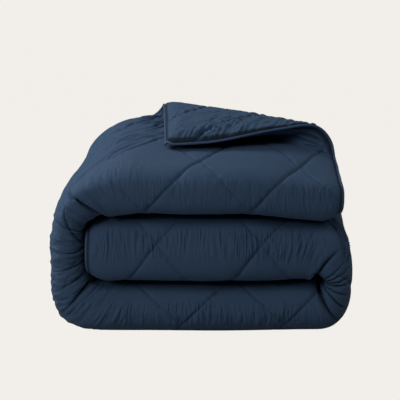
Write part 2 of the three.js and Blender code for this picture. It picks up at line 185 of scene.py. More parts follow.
def ribs_at(along):
    """The ribs that cross the strip: their inner and outer points in x and z, the leg of the letter
    that each is on, and how far the left fold's mitre moves its middle."""
    gap = LAYER_GAP / 2
    which = np.clip(np.searchsorted(LEG_ENDS, along, side="left") - 1, 0, TOP_LEG)
    rib = [np.zeros_like(along) for _ in range(4)]
    mitre = [np.zeros_like(along) for _ in range(2)]
    for leg in range(TOP_LEG + 1):
        here = which == leg
        t = (along[here] - LEG_ENDS[leg]) / (LEG_ENDS[leg + 1] - LEG_ENDS[leg])
        if leg == MIDDLE_LEG:
            x = lerp(START_X, RIGHT_PIVOT[0], t)
            found = x, lower_z(x) + gap, x, upper_z(x) - gap
        elif leg == RIGHT_LEG:
            outer = (RIGHT_REACH, upper_z(RIGHT_PIVOT[0]) - gap - RIGHT_PIVOT[1], RIGHT_PIVOT[1])
            found = fold_rib(t, RIGHT_PIVOT, (90, -90), (gap, gap, gap), 2, outer, RIGHT_POWERS)
        elif leg == BOTTOM_LEG:
            x = lerp(RIGHT_PIVOT[0], LEFT_PIVOT[0], t)
            found = x, lower_z(x) - gap, x, 0 * x
        elif leg == LEFT_LEG:
            inner = (LEFT_HOLLOW, UPPER_Z + gap - LEFT_PIVOT[1], LEFT_PIVOT[1] - LOWER_Z + gap)
            outer = (LEFT_REACH, TOP_Z - LEFT_PIVOT[1], LEFT_PIVOT[1])
            turned = t, LEFT_PIVOT, (-90, -270), inner, LEFT_HOLLOW_POWER
            found = fold_rib(*turned, outer, LEFT_POWERS)
            middle = tuple((a + b) / 2 for a, b in zip(inner, outer))
            course = fold_rib(*turned, middle, (MITRE_POWER, LEFT_POWERS[1]))[2:]
            for store, value, a, b in zip(mitre, course, found[:2], found[2:]):
                store[here] = value - (a + b) / 2
        else:
            x = lerp(LEFT_PIVOT[0], FINISH_X, t)
            found = x, upper_z(x) + gap, x - FINISH_LEAN * np.maximum(0, t) ** 3, top_z(x)
        for store, value in zip(rib, found):
            store[here] = value
    from_end = np.clip(np.minimum(along, LENGTH - along), 0, EDGE_TAPER) / EDGE_TAPER
    draw = END_DRAW / 2 * (1 - from_end) ** 2
    ix, iz, ox, oz = rib
    return lerp(ix, ox, draw), lerp(iz, oz, draw), lerp(ox, ix, draw), lerp(oz, iz, draw), which, mitre


def from_edges(along, across):
    return np.minimum(np.minimum(along, LENGTH - along), np.minimum(across, WIDTH - across))


def half_loft(along, across):
    """Half of the ply's thickness, rounded down to the sewn edge."""
    near = np.clip(from_edges(along, across), 0, EDGE_TAPER) / EDGE_TAPER
    return lerp(EDGE / 2, PLY / 2, np.sqrt(1 - (1 - near) ** 2))


SLIDE_MOST, SLIDE_GROWS, SLIDE_FADES = 0.050, (0.060, 0.380), (0.760, 1.080)


def slid(along, across):
    """The middle layer was folded a little off the centre line, so its front shows other rows."""
    share = 1 - ease(along, RIGHT_IN, RIGHT_OUT)
    return across + SLIDE_MOST * share * within(across, SLIDE_GROWS, SLIDE_FADES)


def front_share(along, across):
    """Share of the way round the rounded front: below 0 on the outer ply, past 1 on the one below."""
    return (slid(along, across) - PLY_END) / FRONT_WAY


# The turned corner, whose fold runs from the long back edge to the end.
CORNER_LEG, CORNER_ANGLE = 0.446, np.radians(46)
CORNER_ROLL = (0.0222, 0.0272, 0.0242)  # radius of its fold at the long edge, the middle and the end
CORNER_BEND = (-0.004, 0.045)  # how far its fold bends back at the long edge and at the end
CORNER_FLARE = 0.0125  # how far its end edge bends up beside the fold
CORNER_DROOP, CORNER_SLIP = 0.014, 0.0060  # how far its tip sinks and slips to the left
# Shares of the fold's length, from the long edge, over which those change and it lifts off the stack.
ROLL_GROWS, ROLL_TIGHTENS = (0.15, 0.65), (0.80, 1.0)
BEND_FADES, BEND_GROWS = (0, 0.3), (0.66, 1.0)
FLARE_GROWS, CORNER_LIFT = (0.60, 0.80), (0.6, 0.9)


def turn_corner(x, y, z, height, thinned, from_end):
    """The turned corner: rolled half round over a diagonal of the top ply, then lying on the stack."""
    across_fold = np.array([np.cos(CORNER_ANGLE), np.sin(CORNER_ANGLE)])
    fold_x = FINISH_X - FINISH_LEAN - CORNER_LEG / 2
    fold_y = DEPTH / 2 - CORNER_LEG / 2
    fold_length = CORNER_LEG * np.sqrt(2)
    beyond = (x - fold_x) * across_fold[0] + (y - fold_y) * across_fold[1]
    to_end = ((x - fold_x) * across_fold[1] - (y - fold_y) * across_fold[0]) / fold_length + 0.5
    to_end = np.clip(to_end, 0, 1)
    roll = lerp(*CORNER_ROLL[:2], ease(to_end, *ROLL_GROWS))
    roll = lerp(roll, CORNER_ROLL[2], ease(to_end, *ROLL_TIGHTENS))
    bend = CORNER_BEND[0] * (1 - ease(to_end, *BEND_FADES))
    beyond = beyond - lerp(bend, CORNER_BEND[1], ease(to_end, *BEND_GROWS))
    angle = np.clip(beyond / roll, 0, np.pi)
    edge = (1 - np.clip(from_end / EDGE_TAPER, 0, 1)) ** 2
    height = height - CORNER_FLARE * edge * ease(to_end, *FLARE_GROWS) * ease(angle, 0, np.pi / 2)
    back = np.maximum(0, beyond - np.pi * roll)
    reach = (roll - height) * np.sin(angle) - back - beyond
    foot = x - beyond * across_fold[0]
    foot_z = lerp(upper_z(foot) + LAYER_GAP / 2, top_z(foot), TOP_PLY)
    lying = ease(back, 0, EDGE_TAPER) * (1 - ease(to_end, *CORNER_LIFT))
    settled = ease(back, 0, fold_length / 2 - np.pi * CORNER_ROLL[0])
    droop = CORNER_DROOP * settled + thinned * lying
    turned = beyond > 0
    return (np.where(turned, x + reach * across_fold[0] - CORNER_SLIP * settled, x),
            np.where(turned, y + reach * across_fold[1], y),
            np.where(turned, foot_z + roll - (roll - height) * np.cos(angle) - droop, z))


CORNER_ROUND, CORNER_RIM = 0.0041, 0.014  # how far the cloth's corners are drawn in, and over what length
CORNER_PULL_MOST = 1.2  # how far that grows past the edge, where the piping is measured


def round_corners(along, across):
    near_start, near_edge = along < LENGTH / 2, across < WIDTH / 2
    a = 1 - np.where(near_start, along, LENGTH - along) / CORNER_RIM
    b = 1 - np.where(near_edge, across, WIDTH - across) / CORNER_RIM
    pull = CORNER_ROUND * np.clip(a, 0, CORNER_PULL_MOST) * np.clip(b, 0, CORNER_PULL_MOST)
    return along + np.where(near_start, pull, -pull), across + np.where(near_edge, pull, -pull)


# How the soft stack settles, with the spans of its depth, width or height over which each change comes.
FRONT_GAP, FRONT_FADE = 0.0045, 0.06  # how far each layer's front stands off where it meets the next
PARTING_FADE = 0.08
MITRE_FADES = (-0.265, -0.215)
TOP_CROWN = (0.010, 0.030)  # how far the top ply sinks towards the front, at the middle and at the right
CROWN_BEGINS, CROWN_FADES, CROWN_GROWS = (LEFT_OUT - 0.16, LEFT_OUT + 0.10), (-0.27, -0.05), (0.05, 0.28)
START_ROUND, START_UPPER, FINISH_ROUND = 0.012, 0.55, 0.020  # how far the corners of the ends are drawn in
END_FADE = 0.09
FINISH_BULGE = (0.0035, 0.7, 0.25)  # how far the last end stands out in front, at what share and how wide
FINISH_BACK, FINISH_SIDE, FINISH_HEIGHT = 0.008, (0.20, 0.30), (0.390, 0.440)  # and in at the back
SLANT = 0.272  # slope of the line along which the left shoulder and the last end sag
SHOULDER_DENT = (0.0095, 0.415, 0.036)  # depth, height on that slant and width of the shoulder's dent
SHOULDER_BULGE = (0.0092, 0.328, 0.060)  # and of the swell below it
SHOULDER_SIDE = (0.15, 0.25)
FRONT_SKEW = (-0.006, 0.016)  # how far the front lies forward at the left and back at the right
SKEW_LEFT, SKEW_RIGHT, SKEW_FADES = (0.10, 0.28), (0.0, 0.30), (-0.24, 0.0)


def parting(along, inside):
    """How far a layer's front opens from the next one, by its share of the strip's height."""
    in_left = within(along, (LEFT_IN, LEFT_IN + PARTING_FADE), (LEFT_OUT - PARTING_FADE, LEFT_OUT))
    before_right = 1 - ease(along, RIGHT_IN - PARTING_FADE, RIGHT_IN)
    return ((1 - inside) ** 2 - inside ** 2 * before_right) * (1 - in_left)


def lay(along, across, height):
    """A point of the folded duvet: lengths along and across the cloth, and a height in its ply."""
    along, across = round_corners(along, across)
    lying = slid(along, across)
    y, level = section_at(along, lying, height)
    ix, iz, ox, oz, leg, mitre = ribs_at(along)
    share = 0.5 + level / STRIP
    inside = np.clip(share, 0, 1)
    front = within(lying, (PLY_END - FRONT_FADE, PLY_END), (FRONT_END, FRONT_END + FRONT_FADE))
    share = share + FRONT_GAP / STRIP * front * parting(along, inside)
    bent = 4 * inside * (1 - inside) * (1 - ease(y, *MITRE_FADES))
    x, z = lerp(ix, ox, share) + bent * mitre[0], lerp(iz, oz, share) + bent * mitre[1]
    sunk = ease(along, *CROWN_BEGINS) * (1 - ease(y, *CROWN_FADES))
    z = z - lerp(*TOP_CROWN, ease(x, *CROWN_GROWS)) * sunk * inside ** 4
    # The strip's two ends are rounded off, and the last one bulges.
    corner = np.clip(np.abs(2 * share - 1), 0, 1.1)
    first, last = 1 - ease(along, 0, END_FADE), ease(along, LENGTH - END_FADE, LENGTH)
    x = x + START_ROUND * np.where(share > 0.5, START_UPPER, 1) * corner ** 4 * first
    x = x + last * (front * swell(share, *FINISH_BULGE) - FINISH_ROUND * corner ** 2.5 * (share < 0.5))
    squeeze = (oz - iz) / STRIP
    thinned = squeeze * (PLY / 2 - half_loft(along, across))
    turned = turn_corner(x, y, z, squeeze * height, thinned, LENGTH - along)
    on_top = (leg == TOP_LEG) & (across <= PLY_END)
    x, y, z = (np.where(on_top, there, here) for there, here in zip(turned, (x, y, z)))
    # The left shoulder and the last end sag along a slant, and the whole front lies a little askew.
    slant = z + SLANT * (y + DEPTH / 2)
    x = x - FINISH_BACK * (leg == TOP_LEG) * ease(x, *FINISH_SIDE) * ease(slant, *FINISH_HEIGHT)
    outside = inside ** 2 * ease(-x, *SHOULDER_SIDE)
    x = x + outside * (swell(slant, *SHOULDER_DENT) - swell(slant, *SHOULDER_BULGE))
    askew = FRONT_SKEW[0] * ease(-x, *SKEW_LEFT) + FRONT_SKEW[1] * ease(x, *SKEW_RIGHT)
    y = y + askew * (1 - ease(y, *SKEW_FADES))
    return np.stack([x, y, z], axis=-1)


TABLE = 256  # cells each way before the unevenness comes round again


def uneven(u, v, cell_u, cell_v, seed):
    """Smooth seeded unevenness from -1 to 1 over two lengths, with its own cell each way."""
    u, v = np.broadcast_arrays(u / cell_u, v / cell_v)
    i, j = np.floor(u).astype(int), np.floor(v).astype(int)
    table = np.random.default_rng(seed).uniform(-1, 1, (TABLE, TABLE))
    fu, fv = ease(u - i, 0, 1), ease(v - j, 0, 1)

    def at(p, q):
        return table[p % TABLE, q % TABLE]

    low = lerp(at(i, j), at(i + 1, j), fu)
    return lerp(low, lerp(at(i, j + 1), at(i + 1, j + 1), fu), fv)


def wrinkled(kind, u, v):
    """Unevenness of a kind: its height, its cells along and across its run, and its seed."""
    height, *cells = kind
    return height * uneven(u, v, *cells)


def sharp_folds(kind, u, v):
    """Soft crests with sharp valleys: their heights, the valleys' share, the cells and the seed."""
    crest, valley, share, *cells = kind
    folds = uneven(u, v, *cells)
    return crest * folds - valley * np.exp(-np.abs(folds) / share)


# The quilting: its diamonds, one crossing of seams, and how far its rows lie off the middle layer's on
# the bottom and top layers, the top ply and the turned corner, with the widths over which those begin.
DIAMOND = 0.231
CROSSING_ALONG, CROSSING_ACROSS = 0.153, 0.497
BOTTOM_ROWS, TOP_ROWS, TOP_ROWS_BEGIN = 0.040, -0.007, (LEFT_IN + 0.05, LEFT_OUT)
CROWN_ROWS, CROWN_ROWS_END = -0.075, (0.330, 0.545)
CORNER_ROWS, CORNER_ROWS_END = -0.033, (0.150, 0.330)
BOWS = (-0.0440, 0.0200, 0.0)  # how far the rows bow over the left shoulder, one stretch after the other
BOW_STRETCHES, BOWS_END = ((1.490, 1.540), (1.544, 1.606), (1.606, 1.690)), (0.420, 0.480)


def seam_rows(along, across):
    """Half diamonds along and across the cloth: a seam runs where their sum or difference is even."""
    rows = BOTTOM_ROWS * ease(along, RIGHT_IN, RIGHT_OUT)
    top = TOP_ROWS + CROWN_ROWS * (1 - ease(across, *CROWN_ROWS_END))
    top = top + CORNER_ROWS * (1 - ease(across, *CORNER_ROWS_END))
    rows = lerp(rows, top, ease(along, *TOP_ROWS_BEGIN))
    bowed = 0.0
    for bow, stretch in zip(BOWS, BOW_STRETCHES):
        bowed = lerp(bowed, bow, ease(along, *stretch))
    rows = rows + bowed * (1 - ease(across, *BOWS_END))
    return 2 * (along - CROSSING_ALONG) / DIAMOND, 2 * (across - CROSSING_ACROSS - rows) / DIAMOND


def seam_lengths(along, across):
    """Distance from the nearest seam of each of the two families, and the length along it."""
    a, b = seam_rows(along, across)
    unit = DIAMOND / (2 * np.sqrt(2))

    def off(v):
        return np.abs(v - 2 * np.round(v / 2)) * unit

    return off(a + b), (a - b) * unit, off(a - b), (a + b) * unit


# Creases, each as its points of length along the cloth and share of the way round the front, its depth
# and width, and how far the cloth stands up before and after it. The deep ones are those of the left
# fold's corners and of the right fold's pinch.
CREASES = (
    (((1.528, 1.00), (1.524, 0.75), (1.519, 0.42), (1.5165, 0.10), (1.5150, -0.15)),
     0.034, 0.0052, 0.000, 0.004),
    (((1.322, 1.00), (1.316, 0.75), (1.309, 0.44)), 0.024, 0.0042, 0.001, 0.001),
    (((0.497, 0.95), (0.504, 0.73), (0.523, 0.64), (0.535, 0.53), (0.542, 0.45), (0.550, 0.34)),
     0.022, 0.0036, 0.004, 0.001),
    (((0.580, 1.00), (0.580, 0.25)), 0.007, 0.0024, 0.001, 0.001),
    (((0.602, 1.00), (0.602, 0.15)), 0.010, 0.0025, 0.001, 0.001),
    (((0.621, 1.00), (0.624, 0.18)), 0.012, 0.0027, 0.001, 0.001),
    (((0.642, 1.00), (0.639, 0.15)), 0.014, 0.0030, 0.001, 0.001),
    (((0.668, 1.00), (0.670, 0.25)), 0.012, 0.0027, 0.001, 0.001),
    (((0.700, 1.00), (0.703, 0.15)), 0.014, 0.0030, 0.001, 0.001),
    (((0.768, 0.92), (0.753, 0.72), (0.740, 0.48), (0.729, 0.20)), 0.028, 0.0050, 0.002, 0.002),
    (((1.345, 1.00), (1.341, 0.35)), 0.008, 0.0030, 0.001, 0.001),
    (((1.374, 1.00), (1.374, 0.20)), 0.006, 0.0030, 0.001, 0.001),
    (((1.410, 1.00), (1.408, 0.20)), 0.005, 0.0030, 0.001, 0.001),
    (((1.461, 1.00), (1.463, 0.25)), 0.005, 0.0030, 0.001, 0.001),
    (((1.320, 0.52), (1.328, 0.10)), 0.0036, 0.0018, 0.001, 0.001),
    (((1.312, 0.50), (1.317, 0.16)), 0.0036, 0.0018, 0.001, 0.001),
    (((1.308, 0.56), (1.305, 0.08)), 0.0075, 0.0022, 0.001, 0.001),
    (((1.299, 0.54), (1.294, 0.18)), 0.0030, 0.0018, 0.001, 0.001),
    (((1.291, 0.58), (1.284, 0.30)), 0.0018, 0.0018, 0.001, 0.001),
)
CREASE_FADE, CREASE_DRAW = 0.85, 0.62  # how much of a crease is lost at its end, and its draw on the cloth
CREASE_STEEP = 0.75  # share of its depth that has steep sides
STEEP_WIDTH, SOFT_WIDTH, LIP_PLACE, LIP_WIDTH, DRAW_WIDTH = 0.75, 2, 2.8, 1.8, 1.7  # in a crease's widths
CREASED_SHARES = (-0.4, 1)


def creased(along, turn, spread):
    """Sharp valleys with soft lips, and how far they draw the cloth beside them in along its length.
    The spread says how much of its own length the cloth covers there."""
    total, drawn = np.zeros_like(along), np.zeros_like(along)
    across = turn * FRONT_WAY
    for points, depth, width, before, after in CREASES:
        points = [(f, share * FRONT_WAY) for f, share in points]
        nearest, gone, side = np.full_like(along, 1.0), np.zeros_like(along), np.zeros_like(along)
        for k in range(len(points) - 1):
            (f0, w0), (f1, w1) = points[k], points[k + 1]
            t = np.clip((across - w0) / (w1 - w0), 0, 1)
            off = along - lerp(f0, f1, t)
            far = np.hypot(off * spread, across - lerp(w0, w1, t))
            closer = far < nearest
            gone = np.where(closer, (k + t) / (len(points) - 1), gone)
            side = np.where(closer, off, side)
            nearest = np.minimum(far, nearest)
        strength = 1 - CREASE_FADE * gone ** 2
        steep = 1 / (1 + (nearest / (STEEP_WIDTH * width)) ** 4)
        soft = np.exp(-nearest / (SOFT_WIDTH * width))
        lip = np.where(side > 0, after, before) * bell(nearest - LIP_PLACE * width, LIP_WIDTH * width)
        total += strength * (depth * lerp(soft, steep, CREASE_STEEP) - lip)
        drawn -= CREASE_DRAW * side * strength * bell(nearest, DRAW_WIDTH * width)
    near = (turn > CREASED_SHARES[0]) & (turn < CREASED_SHARES[1])
    return np.where(near, total, 0), np.where(near, drawn, 0)


# The fine puckers of the fronts. They begin and end at shares of the way round, each given with how
# much further that is on the bottom and on the top layer, and they come in patches. They are more where
# seams cross and beside the right fold, fewer on the top layer, and there are none in the two folds.
PUCKERS_BEGIN, PUCKERS_END = (0.14, 0.14, 0.10), (0.44, 0.14, 0.16)
PUCKERS_RISE, PUCKERS_FALL = 0.13, 0.16
PUCKER_PATCHES, PATCH_MIDDLE, PATCH_MOST = (0.6, 0.060, 0.040, 14), 0.75, 1.2
CROSSING_PUCKERS, RIGHT_PUCKERS = (1.3, 0, 0.035), (1.5, RIGHT_IN - 0.035, 0.045)
TOP_PUCKERS = 0.4
RIGHT_SMOOTH = (RIGHT_IN - 0.005, RIGHT_IN + 0.030), (RIGHT_OUT - 0.08, RIGHT_OUT - 0.02)
LEFT_SMOOTH = (LEFT_IN + 0.05, LEFT_IN + 0.10), (LEFT_OUT - 0.04, LEFT_OUT + 0.04)


def puckering(along, across):
    """How much the cloth's outer face is gathered into fine puckers."""
    d1, _, d2, _ = seam_lengths(along, across)
    turn = front_share(along, across)
    over, on_top = upside_down(along), ease(along, LEFT_IN, LEFT_OUT)
    down = lerp(turn, 1 - turn, over)
    low, high = (at + below * over + above * on_top for at, below, above in (PUCKERS_BEGIN, PUCKERS_END))
    band = within(down, (low, low + PUCKERS_RISE), (high, high + PUCKERS_FALL))
    patch = np.clip(PATCH_MIDDLE + wrinkled(PUCKER_PATCHES, along, across), 0, PATCH_MOST)
    patch = np.maximum(patch, swell(np.hypot(d1, d2), *CROSSING_PUCKERS))
    patch = np.maximum(patch, swell(along, *RIGHT_PUCKERS))
    smooth = (1 - within(along, *RIGHT_SMOOTH)) * (1 - within(along, *LEFT_SMOOTH))
    return band * patch * lerp(1, TOP_PUCKERS, on_top) * smooth


# The seams' channels, by depth and width: the stitches, the dip beside them and the slope of the diamond.
STITCHES, DIP, SLOPE = (0.0036, 0.0036), (0.0012, 0.011), (0.0014, 0.030)
SECOND_SEAMS = (0.65, 0.4)  # how deep the second family of seams is beside the first, below and on top
SEAM_PUCKERS, SEAM_PUCKERS_REACH = ((0.0012, 0.0055, 0.030, 11), (0.0009, 0.0055, 0.030, 12)), 0.016
SWELLS = (0.0014, 0.060, 0.060, 13)


def groove(d):
    return STITCHES[0] * bell(d, STITCHES[1]) + DIP[0] * bell(d, DIP[1]) + SLOPE[0] * np.exp(-d / SLOPE[1])


def seam_relief(along, across):
    """The seams' channels, and the puckers that run out from each seam, square to it."""
    d1, s1, d2, s2 = seam_lengths(along, across)
    second = lerp(*SECOND_SEAMS, ease(along, LEFT_IN, LEFT_OUT))
    found = -np.maximum(groove(d1), second * groove(d2))
    for kind, s, d in zip(SEAM_PUCKERS, (s1, s2), (d1, d2)):
        found += wrinkled(kind, s, d) * np.exp(-d / SEAM_PUCKERS_REACH)
    return found


def diagonals(along, across):
    return (along - across) / np.sqrt(2), (along + across) / np.sqrt(2)


# The under face, which shows on the turned corner: gathers along its end edge and its first seams, and
# wrinkles along the diagonal. Its first seams are deeper there, and its second ones weaker.
FLAP_BEGINS, FLAP_LIES = (LEFT_OUT - 0.05, LEFT_OUT + 0.05), (0.55, 0.66)
FLAP_DRIFT = (0.012, 0.050, 0.050, 20)
FLAP_WRINKLES = (0.0012, 0.050, 0.0105, 19), (0.0018, 0.026, 0.0050, 29)
FLAP_SEAM_GATHERS, FLAP_SEAM_REACH = (0.0040, 0.0046, 0.040, 30), 0.020
FLAP_EDGE_GATHERS, FLAP_EDGE_REACH, FLAP_EDGE_LEAN = (0.0075, 0.0046, 0.080, 21), 0.050, 0.35
FLAP_SEAM_SWELLS = (-0.0010, 0, 0.012), (-0.0042, 0, 0.0036), (0.0016, 0.011, 0.006)
FLAP_SECOND_LOSS, FLAP_SECOND_FROM = 0.3, 0.02
FLAP_SEAM_DEPTH, UNDER_SEAMS = 1.4, 0.25


def under_relief(along, across):
    d1, s1, d2, _ = seam_lengths(along, across)
    seam = seam_relief(along, across)
    seam += wrinkled(FLAP_SEAM_GATHERS, s1, d1) * np.exp(-d1 / FLAP_SEAM_REACH)
    seam += sum(swell(d1, *kind) for kind in FLAP_SEAM_SWELLS)
    seam += FLAP_SECOND_LOSS * groove(d2) * (d1 > FLAP_SECOND_FROM)
    long_way, short_way = diagonals(along, across)
    short_way = short_way + wrinkled(FLAP_DRIFT, along, across)
    out = wrinkled(SWELLS, along, across) + sum(wrinkled(kind, long_way, short_way) for kind in FLAP_WRINKLES)
    from_end = LENGTH - along
    gathers = wrinkled(FLAP_EDGE_GATHERS, across + FLAP_EDGE_LEAN * along, from_end)
    out += gathers * np.exp(-from_end / FLAP_EDGE_REACH)
    lies = ease(along + (PLY_END - across) - LEFT_OUT, *FLAP_LIES)
    shown = 1 - ease(across, PLY_END - FRONT_FADE, PLY_END)
    flap = ease(along, *FLAP_BEGINS) * shown
    return (FLAP_SEAM_DEPTH * seam * lerp(UNDER_SEAMS, 1, lies) + flap * lies * out) * shown


# Where the cloth is pulled flat, beside the left fold's corners, and where its first seams are drawn
# in deeper: over the left shoulder and down the left fold, each with its depth and width.
HELD_UPPER, HELD_LOWER = (1, LEFT_OUT - 0.09, 0.05), (1, LEFT_IN + 0.08, 0.045)
FRONT_NEAR = (0.425, 0.475)  # length across over which the outer ply comes near the front
LEFT_SEAM_LOSS, HELD_SEAM_LOSS = 0.6, 0.8
SHOULDER_SEAMS, SHOULDER_SEAMS_ACROSS = ((1.510, 1.540), (1.655, 1.700)), (0.405, 0.445)
SHOULDER_SEAM_DRAW = (0.0045, 0, 0.0045)
LEFT_SEAMS, LEFT_SEAMS_SHARES = ((1.370, 1.400), (1.490, 1.510)), (0.10, 0.30)
LEFT_SEAM_DRAW = (0.0050, 0, 0.0034)
LEFT_FOLD = (LEFT_IN + 0.03, LEFT_IN + 0.12), (LEFT_OUT - 0.12, LEFT_OUT)


def held_flat(along, across):
    upper = swell(along, *HELD_UPPER) * ease(across, *FRONT_NEAR)
    return np.maximum(upper, swell(along, *HELD_LOWER))


def outer_seams(along, across, turn):
    d1 = seam_lengths(along, across)[0]
    loss = LEFT_SEAM_LOSS * within(along, *LEFT_FOLD) * ease(across, *FRONT_NEAR)
    seam = seam_relief(along, across) * (1 - loss) * (1 - HELD_SEAM_LOSS * held_flat(along, across))
    shoulder = within(along, *SHOULDER_SEAMS) * (1 - ease(across, *SHOULDER_SEAMS_ACROSS))
    left = within(along, *LEFT_SEAMS) * ease(turn, *LEFT_SEAMS_SHARES)
    return seam - shoulder * swell(d1, *SHOULDER_SEAM_DRAW) - left * swell(d1, *LEFT_SEAM_DRAW)


# The puckers' own unevenness, which leans towards the folds.
LEAN_RIGHT, LEAN_RIGHT_SPAN, LEAN_LEFT = 0.35, ((0.30, 0.46), (0.5, 0.6)), (0.10, 1.22, 0.10)
PUCKER_SWAY, PUCKER_OFFSET = (0.003, 0.030, 0.024, 24), (0.040, 0.0060, 1.0, 22)
FINE_PUCKERS, WIDE_PUCKERS = (0.0034, 0.0039, 0.019, 15), (0.0010, 0.0100, 0.026, 28)


def front_puckers(along, across, lying):
    lean = LEAN_RIGHT * within(along, *LEAN_RIGHT_SPAN) + swell(along, *LEAN_LEFT)
    sway = along + lean * lying + wrinkled(PUCKER_SWAY, along, lying)
    fine = wrinkled(FINE_PUCKERS, sway, lying + wrinkled(PUCKER_OFFSET, sway, 0 * sway))
    return puckering(along, across) * (fine + wrinkled(WIDE_PUCKERS, sway, lying))


LEFT_GATHERS, LEFT_FINE = (0.0019, 0.0021, 0.10, 0.0078, 0.050, 16), (0.0022, 0.0046, 0.022, 35)
LEFT_SWAY = (0.004, 0.030, 0.030, 26)
LEFT_LEAST, LEFT_FULL, LEFT_BEGINS = 0.8, (0.20, 0.85), (-0.30, 0.15)


def left_gathers(along, lying, turn):
    """Gathers that run round the left fold's front."""
    gathered = lerp(LEFT_LEAST, 1, ease(turn, *LEFT_FULL)) * ease(turn, *LEFT_BEGINS)
    gathered = gathered * within(along, *LEFT_FOLD)
    sway = along + wrinkled(LEFT_SWAY, along, lying)
    return gathered * (sharp_folds(LEFT_GATHERS, sway, lying) + wrinkled(LEFT_FINE, along, lying))


def rays(u, v):
    """Distance from a point where wrinkles meet, and the angle of the ray that runs to it."""
    return np.hypot(u, v), np.arctan2(u, v)


RIGHT_MEET_ALONG, RIGHT_MEET_ACROSS, RIGHT_MEET_CLEAR = 0.590, 0.512, (0.015, 0.050)
RIGHT_WRINKLES = (0.0090, 0.0100, 0.20, 0.032, 0.140, 23)
RIGHT_PLACE, RIGHT_RAYS = (1, RIGHT_IN + 0.055, 0.050), ((0.05, 0.20), (0.70, 0.90))
RIGHT_SHARES = (-1.6, -0.9), (0.15, 0.45)


def right_wrinkles(along, across, turn):
    """Wrinkles down the right fold's outside, which meet at its front."""
    spread, ray = rays(RIGHT_MEET_ALONG - along, RIGHT_MEET_ACROSS - across)
    place = swell(along, *RIGHT_PLACE) * within(turn, *RIGHT_SHARES)
    place = place * within(ray, *RIGHT_RAYS) * ease(spread, *RIGHT_MEET_CLEAR)
    return place * sharp_folds(RIGHT_WRINKLES, ray, spread)


SHOULDER_PLACE = (LEFT_OUT - 0.22, LEFT_OUT - 0.08), (LEFT_OUT + 0.14, LEFT_OUT + 0.26)
SHOULDER_SEAM, SHOULDER_FADES = (11.85, 12.15), (PLY_END + 0.02, PLY_END + 0.10)
SHOULDER_DRIFT = (0.010, 0.060, 0.060, 25)
SHOULDER_FOLDS, SHOULDER_FINE = (0.0030, 0.0042, 0.22, 0.080, 0.0085, 18), (0.0030, 0.045, 0.0048, 31)
STREAKS, STREAK_OFFSET = (0.0015, 0.0042, 0.026, 34), (0.03, 0.0060, 1.0, 33)
STREAK_PLACE, STREAK_SHARES = (1, LEFT_OUT - 0.05, 0.060), ((-0.35, -0.05), (0.45, 0.75))


def shoulder_wrinkles(along, across, lying, turn):
    """Wrinkles over the left shoulder as far as its long seam, and faint streaks down its front."""
    a, b = seam_rows(along, across)
    place = within(along, *SHOULDER_PLACE) * (1 - ease(a + b, *SHOULDER_SEAM))
    place = place * (1 - ease(across, *SHOULDER_FADES))
    long_way, short_way = diagonals(along, across)
    short_way = short_way + wrinkled(SHOULDER_DRIFT, along, across)
    folds = sharp_folds(SHOULDER_FOLDS, long_way, short_way) + wrinkled(SHOULDER_FINE, long_way, short_way)
    below = swell(along, *STREAK_PLACE) * within(turn, *STREAK_SHARES)
    streaks = wrinkled(STREAKS, along, lying + wrinkled(STREAK_OFFSET, along, 0 * along))
    return place * folds + below * streaks


CORNER_MEET = CORNER_LEG - 0.104  # length across at which the corner's wrinkles meet, on the end edge
CORNER_MEET_NEAR = (0.006, 0.028), (0.050, 0.090)
CORNER_RAYS, CORNER_RAYS_FADE = (0.0030, 0.15, 0.090, 27), (-0.1, 0.2)
CORNER_FOLDS, CORNER_FOLD_DEPTH = ((1, -0.22, 0.10), (1, -0.62, 0.09), (1, -1.08, 0.12)), 0.0090


def corner_wrinkles(along, across):
    """Wrinkles that meet under the end of the turned corner's fold, three of them deep."""
    spread, ray = rays(across - CORNER_MEET, LENGTH - along)
    small = (1 - ease(ray, *CORNER_RAYS_FADE)) * wrinkled(CORNER_RAYS, ray, spread)
    deep = CORNER_FOLD_DEPTH * sum(swell(ray, *fold) for fold in CORNER_FOLDS)
    return within(spread, *CORNER_MEET_NEAR) * (small - deep)


# Where two layers press on each other the cloth is held smooth, and it is free on the top and in the
# two folds. Nothing shows past the fronts, and the bottom layer lies flat on the floor.
TOP_FREE = (LEFT_OUT - 0.14, LEFT_OUT - 0.04)
RIGHT_FREE = (RIGHT_IN - 0.03, RIGHT_IN + 0.02), (RIGHT_OUT - 0.10, RIGHT_OUT - 0.03)
LEFT_FREE = (LEFT_IN + 0.08, LEFT_IN + 0.16), TOP_FREE
PRESSED_ABOVE, PRESSED_BELOW = (0.04, 0.22), (0.80, 0.97)
PRESSED_SEAMS, PRESSED_WRINKLES = 0.15, 0.3
FLOOR_SPAN, FLOOR_SHARES = ((RIGHT_OUT - 0.06, RIGHT_OUT), (LEFT_IN, LEFT_IN + 0.06)), (0.10, 0.40)
SHOWN_END = (FRONT_END + 0.02, FRONT_END + 0.06)


def outer_relief(along, across):
    lying, turn = slid(along, across), front_share(along, across)
    open_air = within(along, *RIGHT_FREE) + within(along, *LEFT_FREE)
    open_air = np.maximum(ease(along, *TOP_FREE), open_air)
    free = lerp(ease(turn, *PRESSED_ABOVE), 1, open_air) * (1 - ease(turn, *PRESSED_BELOW))
    seam = outer_seams(along, across, turn)
    out = wrinkled(SWELLS, along, across) + front_puckers(along, across, lying)
    out += left_gathers(along, lying, turn) + right_wrinkles(along, across, turn)
    out += shoulder_wrinkles(along, across, lying, turn) + corner_wrinkles(along, across)
    on_floor = within(along, *FLOOR_SPAN) * (1 - ease(turn, *FLOOR_SHARES))
    shown = 1 - ease(across, *SHOWN_END)
    found = seam * lerp(PRESSED_SEAMS, 1, free) + out * lerp(PRESSED_WRINKLES, 1, free)
    return found * (1 - on_floor) * shown


